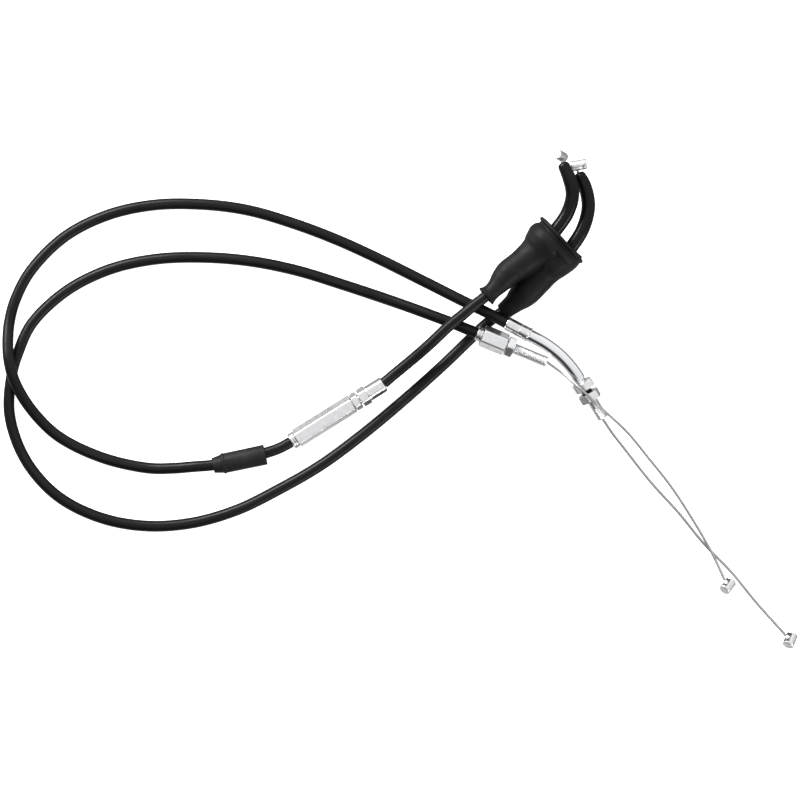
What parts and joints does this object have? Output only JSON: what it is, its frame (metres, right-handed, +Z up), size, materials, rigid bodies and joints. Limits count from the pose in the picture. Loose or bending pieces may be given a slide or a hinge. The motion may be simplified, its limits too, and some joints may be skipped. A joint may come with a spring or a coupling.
{
  "type": "motorcycle throttle cable pair",
  "caption": "Pull and return throttle cables sharing a forked rubber boot, with moulded elbows, an in-line adjuster, threaded carburettor fittings and barrel nipples.",
  "frame": {"origin": "middle of the pair's overall box, on the plane it lies on", "axes": "+Z up from the surface it lies on; +X along the longest side, from the loops towards the carburettor ends; +Y towards the throttle end"},
  "size_m": [0.4264, 0.2675, 0.0272],
  "materials": {
    "boot_rubber": "matt moulded rubber with a faint bloom",
    "sleeve_rubber": "matt moulded rubber",
    "jacket": "black extruded PVC, semi-gloss",
    "elbow_moulding": "black moulded nylon, semi-gloss",
    "liner": "natural nylon tube, out of sight",
    "zinc_plate": "bright zinc plate on turned steel",
    "chrome_tube": "polished bent tube with a rolled thread",
    "cast_nipple": "cast zinc alloy, satin, with a solder spot",
    "strand": "galvanised steel strand, fine right-hand lay"
  },
  "bodies": {
    "cable_set": {"throttle_boot": "boot_rubber", "pull_upper_casing": "jacket", "pull_upper_liner": "liner", "pull_lower_casing": "jacket", "pull_lower_liner": "liner", "pull_throttle_elbow": "elbow_moulding", "pull_throttle_ferrule": "zinc_plate", "pull_adjuster_screw": "zinc_plate", "pull_carb_ferrule": "zinc_plate", "pull_carb_elbow": "chrome_tube", "pull_inner_wire": "strand", "return_casing": "jacket", "return_liner": "liner", "return_throttle_elbow": "elbow_moulding", "return_throttle_ferrule": "zinc_plate", "return_carb_ferrule": "zinc_plate", "return_inner_wire": "strand"},
    "pull_throttle_end": {"pull_throttle_nipple": "cast_nipple", "pull_throttle_wire": "strand"},
    "pull_carb_end": {"pull_carb_nipple": "cast_nipple", "pull_carb_wire": "strand"},
    "return_throttle_end": {"return_throttle_nipple": "cast_nipple", "return_throttle_wire": "strand"},
    "return_carb_end": {"return_carb_nipple": "cast_nipple", "return_carb_wire": "strand"},
    "adjuster_collar": {"pull_adjuster_collar": "zinc_plate"},
    "adjuster_barrel": {"pull_adjuster_barrel": "zinc_plate"},
    "adjuster_lock_nut": {"pull_adjuster_lock_nut": "zinc_plate"},
    "rubber_sleeve": {"adjuster_sleeve": "sleeve_rubber"},
    "carb_nut_upper": {"pull_carb_nut_upper": "zinc_plate"},
    "carb_nut_lower": {"pull_carb_nut_lower": "zinc_plate"},
    "return_adjuster": {"return_carb_adjuster": "zinc_plate"},
    "return_adjuster_lock_nut": {"return_lock_nut": "zinc_plate"}
  },
  "joints": [
    {"name": "pull_throttle_end_slide", "type": "slide", "parent": "cable_set", "child": "pull_throttle_end", "axis": [-0.23, 0.9081, -0.35], "range_m": [0, 0.025], "deforming": ["pull_throttle_wire"]},
    {"name": "pull_carb_end_slide", "type": "slide", "parent": "cable_set", "child": "pull_carb_end", "axis": [-0.6606, 0.7507, 0], "range_m": [0, 0.025], "deforming": ["pull_carb_wire"]},
    {"name": "return_throttle_end_slide", "type": "slide", "parent": "cable_set", "child": "return_throttle_end", "axis": [-0.17, 0.9249, 0.34], "range_m": [0, 0.025], "deforming": ["return_throttle_wire"]},
    {"name": "return_carb_end_slide", "type": "slide", "parent": "cable_set", "child": "return_carb_end", "axis": [-0.6606, 0.7507, 0], "range_m": [0, 0.025], "deforming": ["return_carb_wire"]},
    {"name": "adjuster_collar_slide", "type": "slide", "parent": "cable_set", "child": "adjuster_collar", "axis": [-0.8465, -0.529, -0.0599], "range_m": [0, 0.005], "deforming": ["pull_lower_casing", "pull_lower_liner"]},
    {"name": "adjuster_barrel_turn", "type": "hinge", "parent": "adjuster_collar", "child": "adjuster_barrel", "pos_m": [-0.05548, -0.021, 0.00513], "axis": [-0.8465, -0.529, -0.0599], "range_deg": [0, 1800]},
    {"name": "adjuster_lock_nut_slide", "type": "slide", "parent": "cable_set", "child": "adjuster_lock_nut", "axis": [-0.8465, -0.529, -0.0599], "range_m": [0, 0.005]},
    {"name": "rubber_sleeve_slide", "type": "hinge", "parent": "cable_set", "child": "rubber_sleeve", "pos_m": [-0.11488, 0.09185, 0.00573], "axis": [0, 0, 1], "range_deg": [-4.5, 1.8]},
    {"name": "carb_nut_upper_slide", "type": "slide", "parent": "cable_set", "child": "carb_nut_upper", "axis": [0.5122, -0.8424, -0.1676], "range_m": [-0.0015, 0.0015]},
    {"name": "carb_nut_lower_slide", "type": "slide", "parent": "cable_set", "child": "carb_nut_lower", "axis": [0.5122, -0.8424, -0.1676], "range_m": [0, 0.009]},
    {"name": "return_adjuster_turn", "type": "hinge", "parent": "cable_set", "child": "return_adjuster", "pos_m": [0.04402, 0.03415, 0.01133], "axis": [0.9218, -0.3818, -0.0669], "continuous": true},
    {"name": "return_lock_nut_slide", "type": "slide", "parent": "return_adjuster", "child": "return_adjuster_lock_nut", "axis": [0.9218, -0.3818, -0.0669], "range_m": [0, 0.012]}
  ],
  "couplings": [
    {"joint": "pull_carb_end_slide", "follows": "pull_throttle_end_slide", "ratio": 1},
    {"joint": "return_carb_end_slide", "follows": "return_throttle_end_slide", "ratio": 1},
    {"joint": "adjuster_barrel_turn", "follows": "adjuster_collar_slide", "rad_per_m": 6283.2},
    {"joint": "adjuster_lock_nut_slide", "follows": "adjuster_collar_slide", "ratio": 1}
  ]
}
